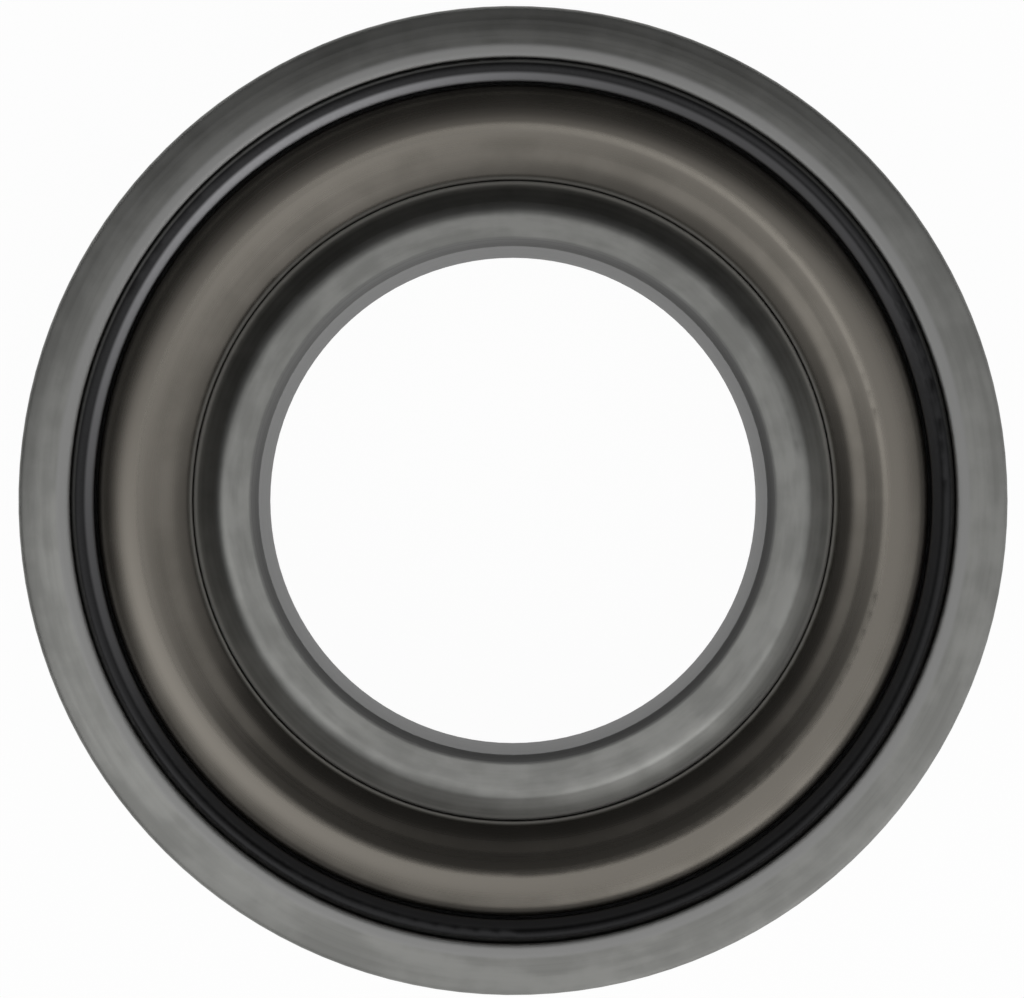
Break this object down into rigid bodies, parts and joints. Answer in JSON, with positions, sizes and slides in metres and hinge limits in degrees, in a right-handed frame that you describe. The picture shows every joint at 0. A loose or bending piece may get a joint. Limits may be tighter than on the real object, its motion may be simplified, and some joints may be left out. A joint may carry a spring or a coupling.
{
  "type": "clutch release bearing",
  "caption": "Sealed angular contact release bearing: a ground outer ring with a crowned contact rim turns around an inner ring with a plain bore, behind a pressed flinger and folded seal case.",
  "frame": {"origin": "centre of the inner ring's back face, which the bearing rests on", "axes": "+Z along the bearing's axis, from the sleeve's shoulder towards the clutch's spring fingers"},
  "size_m": [0.068, 0.068, 0.022],
  "materials": {
    "ring_steel": "ground bearing steel, lightly oiled",
    "flinger_steel": "drawn sheet steel with a warm grey satin surface",
    "case_steel": "dark phosphated sheet steel, worn bright on its fold",
    "rubber": "moulded black nitrile rubber",
    "cage_steel": "pressed sheet steel",
    "ball_steel": "polished bearing steel"
  },
  "bodies": {
    "inner": {"inner_ring": "ring_steel", "front_flinger": "flinger_steel"},
    "outer": {"outer_ring": "ring_steel", "front_seal_case": "case_steel", "front_seal_lip": "rubber", "rear_seal": "rubber"},
    "cage": {"cage_front_half": "cage_steel", "cage_rear_half": "cage_steel", "cage_rivets": "ball_steel"},
    "ball_01": {"ball_01": "ball_steel"},
    "ball_02": {"ball_02": "ball_steel"},
    "ball_03": {"ball_03": "ball_steel"},
    "ball_04": {"ball_04": "ball_steel"},
    "ball_05": {"ball_05": "ball_steel"},
    "ball_06": {"ball_06": "ball_steel"},
    "ball_07": {"ball_07": "ball_steel"},
    "ball_08": {"ball_08": "ball_steel"},
    "ball_09": {"ball_09": "ball_steel"},
    "ball_10": {"ball_10": "ball_steel"},
    "ball_11": {"ball_11": "ball_steel"},
    "ball_12": {"ball_12": "ball_steel"}
  },
  "joints": [
    {"name": "outer_spin", "type": "hinge", "parent": "inner", "child": "outer", "pos_m": [0, 0, 0.012], "axis": [0, 0, 1], "continuous": true},
    {"name": "cage_orbit", "type": "hinge", "parent": "inner", "child": "cage", "pos_m": [0, 0, 0.009], "axis": [0, 0, 1], "continuous": true},
    {"name": "ball_01_spin", "type": "hinge", "parent": "cage", "child": "ball_01", "pos_m": [0.02575, 0, 0.009], "axis": [-0.5736, 0, 0.8192], "continuous": true},
    {"name": "ball_02_spin", "type": "hinge", "parent": "cage", "child": "ball_02", "pos_m": [0.0223, 0.01287, 0.009], "axis": [-0.4967, -0.2868, 0.8192], "continuous": true},
    {"name": "ball_03_spin", "type": "hinge", "parent": "cage", "child": "ball_03", "pos_m": [0.01287, 0.0223, 0.009], "axis": [-0.2868, -0.4967, 0.8192], "continuous": true},
    {"name": "ball_04_spin", "type": "hinge", "parent": "cage", "child": "ball_04", "pos_m": [0, 0.02575, 0.009], "axis": [0, -0.5736, 0.8192], "continuous": true},
    {"name": "ball_05_spin", "type": "hinge", "parent": "cage", "child": "ball_05", "pos_m": [-0.01287, 0.0223, 0.009], "axis": [0.2868, -0.4967, 0.8192], "continuous": true},
    {"name": "ball_06_spin", "type": "hinge", "parent": "cage", "child": "ball_06", "pos_m": [-0.0223, 0.01287, 0.009], "axis": [0.4967, -0.2868, 0.8192], "continuous": true},
    {"name": "ball_07_spin", "type": "hinge", "parent": "cage", "child": "ball_07", "pos_m": [-0.02575, 0, 0.009], "axis": [0.5736, 0, 0.8192], "continuous": true},
    {"name": "ball_08_spin", "type": "hinge", "parent": "cage", "child": "ball_08", "pos_m": [-0.0223, -0.01287, 0.009], "axis": [0.4967, 0.2868, 0.8192], "continuous": true},
    {"name": "ball_09_spin", "type": "hinge", "parent": "cage", "child": "ball_09", "pos_m": [-0.01287, -0.0223, 0.009], "axis": [0.2868, 0.4967, 0.8192], "continuous": true},
    {"name": "ball_10_spin", "type": "hinge", "parent": "cage", "child": "ball_10", "pos_m": [0, -0.02575, 0.009], "axis": [0, 0.5736, 0.8192], "continuous": true},
    {"name": "ball_11_spin", "type": "hinge", "parent": "cage", "child": "ball_11", "pos_m": [0.01287, -0.0223, 0.009], "axis": [-0.2868, 0.4967, 0.8192], "continuous": true},
    {"name": "ball_12_spin", "type": "hinge", "parent": "cage", "child": "ball_12", "pos_m": [0.0223, -0.01287, 0.009], "axis": [-0.4967, 0.2868, 0.8192], "continuous": true}
  ],
  "couplings": [
    {"joint": "cage_orbit", "follows": "outer_spin", "ratio": 0.56313},
    {"joint": "ball_01_spin", "follows": "outer_spin", "ratio": 3.1922},
    {"joint": "ball_02_spin", "follows": "outer_spin", "ratio": 3.1922},
    {"joint": "ball_03_spin", "follows": "outer_spin", "ratio": 3.1922},
    {"joint": "ball_04_spin", "follows": "outer_spin", "ratio": 3.1922},
    {"joint": "ball_05_spin", "follows": "outer_spin", "ratio": 3.1922},
    {"joint": "ball_06_spin", "follows": "outer_spin", "ratio": 3.1922},
    {"joint": "ball_07_spin", "follows": "outer_spin", "ratio": 3.1922},
    {"joint": "ball_08_spin", "follows": "outer_spin", "ratio": 3.1922},
    {"joint": "ball_09_spin", "follows": "outer_spin", "ratio": 3.1922},
    {"joint": "ball_10_spin", "follows": "outer_spin", "ratio": 3.1922},
    {"joint": "ball_11_spin", "follows": "outer_spin", "ratio": 3.1922},
    {"joint": "ball_12_spin", "follows": "outer_spin", "ratio": 3.1922}
  ]
}
